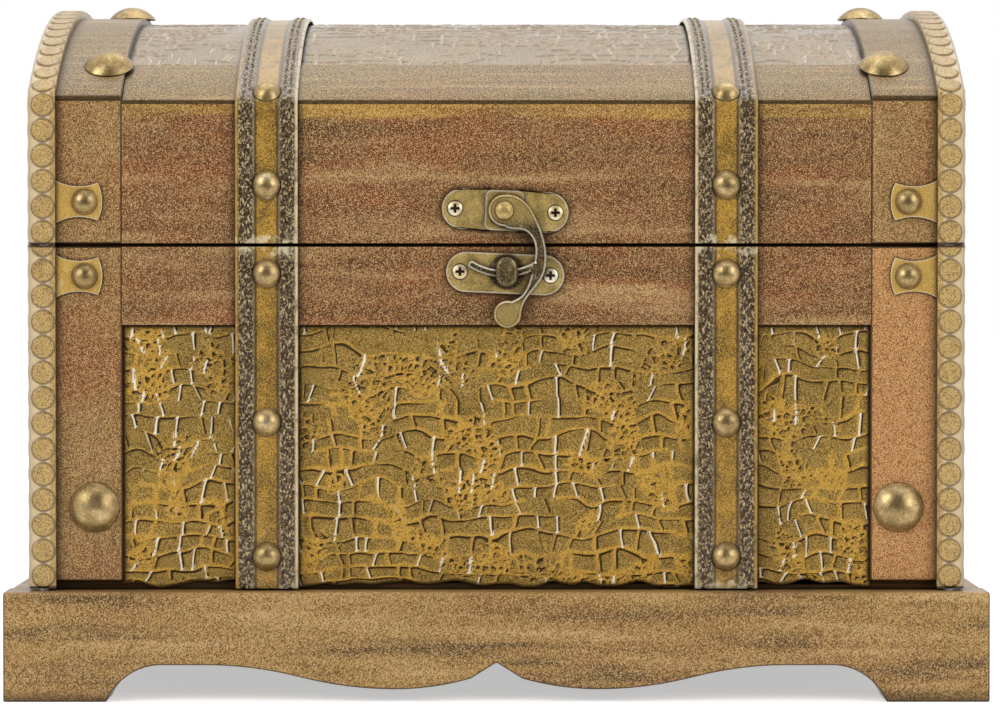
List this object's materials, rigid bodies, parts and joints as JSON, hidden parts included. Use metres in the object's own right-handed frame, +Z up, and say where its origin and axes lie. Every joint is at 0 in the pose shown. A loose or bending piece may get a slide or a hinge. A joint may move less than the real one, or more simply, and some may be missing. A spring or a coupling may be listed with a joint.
{
  "type": "keepsake chest",
  "caption": "Barrel-lid wooden keepsake chest with crackled leather panels, leather straps, embossed corner bindings, a scalloped plinth and a swing clasp.",
  "frame": {"origin": "centre of the footprint, on the surface that the plinth stands on", "axes": "+X to the right along the front, +Y from the front to the back, +Z up"},
  "size_m": [0.22, 0.15, 0.1597],
  "materials": {
    "carcass_wood": "dark stained board",
    "plinth_wood": "antiqued olive-brown lacquer",
    "cladding_wood": "antiqued red-brown lacquer with gold flecks",
    "crackle_leather": "crackled mustard leather",
    "binding_leather": "embossed khaki leather",
    "strap_leather": "gold leather with dark stitched borders",
    "antique_brass": "aged brass"
  },
  "bodies": {
    "body": {"bottom_board": "carcass_wood", "front_board": "carcass_wood", "back_board": "carcass_wood", "left_end_board": "carcass_wood", "right_end_board": "carcass_wood", "plinth_front": "plinth_wood", "plinth_back": "plinth_wood", "plinth_left": "plinth_wood", "plinth_right": "plinth_wood", "front_stiles": "cladding_wood", "front_rail": "cladding_wood", "back_stiles": "cladding_wood", "back_rail": "cladding_wood", "end_stiles": "cladding_wood", "end_rails": "cladding_wood", "front_leather": "crackle_leather", "back_leather": "crackle_leather", "end_leathers": "crackle_leather", "binding_front_left": "binding_leather", "binding_front_right": "binding_leather", "binding_back_left": "binding_leather", "binding_back_right": "binding_leather", "strap_front_left": "strap_leather", "strap_front_right": "strap_leather", "strap_back_left": "strap_leather", "strap_back_right": "strap_leather", "body_corner_brackets": "antique_brass", "body_studs": "antique_brass", "body_dome_nails": "antique_brass", "catch_plate": "antique_brass", "catch_eye": "antique_brass", "hinge_leaves_body": "antique_brass", "hinge_pins": "antique_brass", "body_screws": "antique_brass"},
    "lid": {"lid_front_board": "carcass_wood", "lid_back_board": "carcass_wood", "lid_left_end": "carcass_wood", "lid_right_end": "carcass_wood", "lid_top_skin": "carcass_wood", "lid_front_panel": "cladding_wood", "lid_back_panel": "cladding_wood", "lid_stiles": "cladding_wood", "lid_end_panels": "cladding_wood", "lid_band_left": "cladding_wood", "lid_band_right": "cladding_wood", "lid_crown_rails": "cladding_wood", "lid_leather": "crackle_leather", "lid_binding_left": "binding_leather", "lid_binding_right": "binding_leather", "lid_strap_left": "strap_leather", "lid_strap_right": "strap_leather", "lid_corner_brackets": "antique_brass", "lid_studs": "antique_brass", "lid_dome_nails": "antique_brass", "hasp_plate": "antique_brass", "hasp_rivet": "antique_brass", "lid_screws": "antique_brass", "hinge_leaves_lid": "antique_brass"},
    "hasp_arm": {"hasp_arm": "antique_brass"}
  },
  "joints": [
    {"name": "lid_hinge", "type": "hinge", "parent": "body", "child": "lid", "pos_m": [0, 0.0704, 0.1019], "axis": [-1, 0, 0], "range_deg": [0, 110]},
    {"name": "hasp_swing", "type": "hinge", "parent": "lid", "child": "hasp_arm", "pos_m": [0.00175, -0.0705, 0.1096], "axis": [0, -1, 0], "range_deg": [0, 100]}
  ]
}
